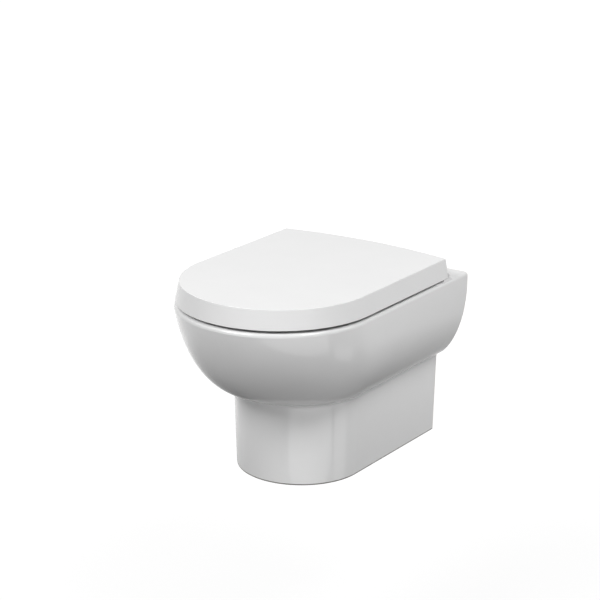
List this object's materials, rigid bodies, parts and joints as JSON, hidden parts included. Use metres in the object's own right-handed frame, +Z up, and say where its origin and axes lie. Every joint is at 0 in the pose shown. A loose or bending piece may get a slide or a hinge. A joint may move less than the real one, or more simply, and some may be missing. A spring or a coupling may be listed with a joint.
{
  "type": "wall hung toilet",
  "caption": "Wall hung toilet: white glazed pan with a round-fronted bowl on a narrower pedestal, hinged seat ring and flat wrap-over lid on quick-release soft-close hinges.",
  "frame": {"origin": "on the wall face, half-way between the two wall studs", "axes": "+Y into the wall, so the pan stands out along -Y; +Z up; +X to the right seen from the front"},
  "size_m": [0.36, 0.503, 0.3542],
  "materials": {
    "ceramic": "white vitreous glaze, glossy",
    "seat_plastic": "white thermoset plastic, polished",
    "buffer_rubber": "pale grey soft rubber",
    "hinge_chrome": "polished chrome plate",
    "button_plastic": "grey satin plastic",
    "steel": "bright zinc plated or stainless steel",
    "damper_plastic": "black moulded damper cartridge",
    "bush_plastic": "natural white nylon",
    "gasket_rubber": "black rubber",
    "brass": "turned brass"
  },
  "bodies": {
    "pan_body": {"pan": "ceramic", "deck": "ceramic", "rear_plate": "ceramic", "bowl": "ceramic", "trapway": "ceramic", "flush_socket": "ceramic", "flush_duct": "ceramic", "hinge_post_right": "hinge_chrome", "hinge_post_left": "hinge_chrome", "hinge_pin_right": "steel", "hinge_pin_left": "steel", "hinge_bases": "hinge_chrome", "hinge_gaskets": "gasket_rubber", "pillar_bolts": "steel", "expanding_plugs": "gasket_rubber", "plug_nuts": "brass", "release_springs_right": "steel", "release_springs_left": "steel", "stud_sleeves": "bush_plastic", "stud_washers": "steel", "stud_nuts": "steel"},
    "seat_body": {"seat_ring": "seat_plastic", "seat_buffers": "buffer_rubber", "seat_damper": "damper_plastic", "seat_bush": "bush_plastic"},
    "lid_body": {"lid": "seat_plastic", "lid_buffers": "buffer_rubber", "lid_damper": "damper_plastic", "lid_bush": "bush_plastic"},
    "button_right": {"release_button_right": "button_plastic"},
    "button_left": {"release_button_left": "button_plastic"}
  },
  "joints": [
    {"name": "seat_hinge", "type": "hinge", "parent": "pan_body", "child": "seat_body", "pos_m": [0, -0.0655, 0.1117], "axis": [-1, 0, 0], "range_deg": [0, 94]},
    {"name": "lid_hinge", "type": "hinge", "parent": "seat_body", "child": "lid_body", "pos_m": [0, -0.0655, 0.1117], "axis": [1, 0, 0], "range_deg": [-94, 0]},
    {"name": "release_right", "type": "slide", "parent": "pan_body", "child": "button_right", "axis": [0, 1, 0], "range_m": [0, 0.003], "stiffness_N_per_m": 300, "springref_m": -0.002, "deforming": ["release_springs_right"]},
    {"name": "release_left", "type": "slide", "parent": "pan_body", "child": "button_left", "axis": [0, 1, 0], "range_m": [0, 0.003], "stiffness_N_per_m": 300, "springref_m": -0.002, "deforming": ["release_springs_left"]}
  ]
}
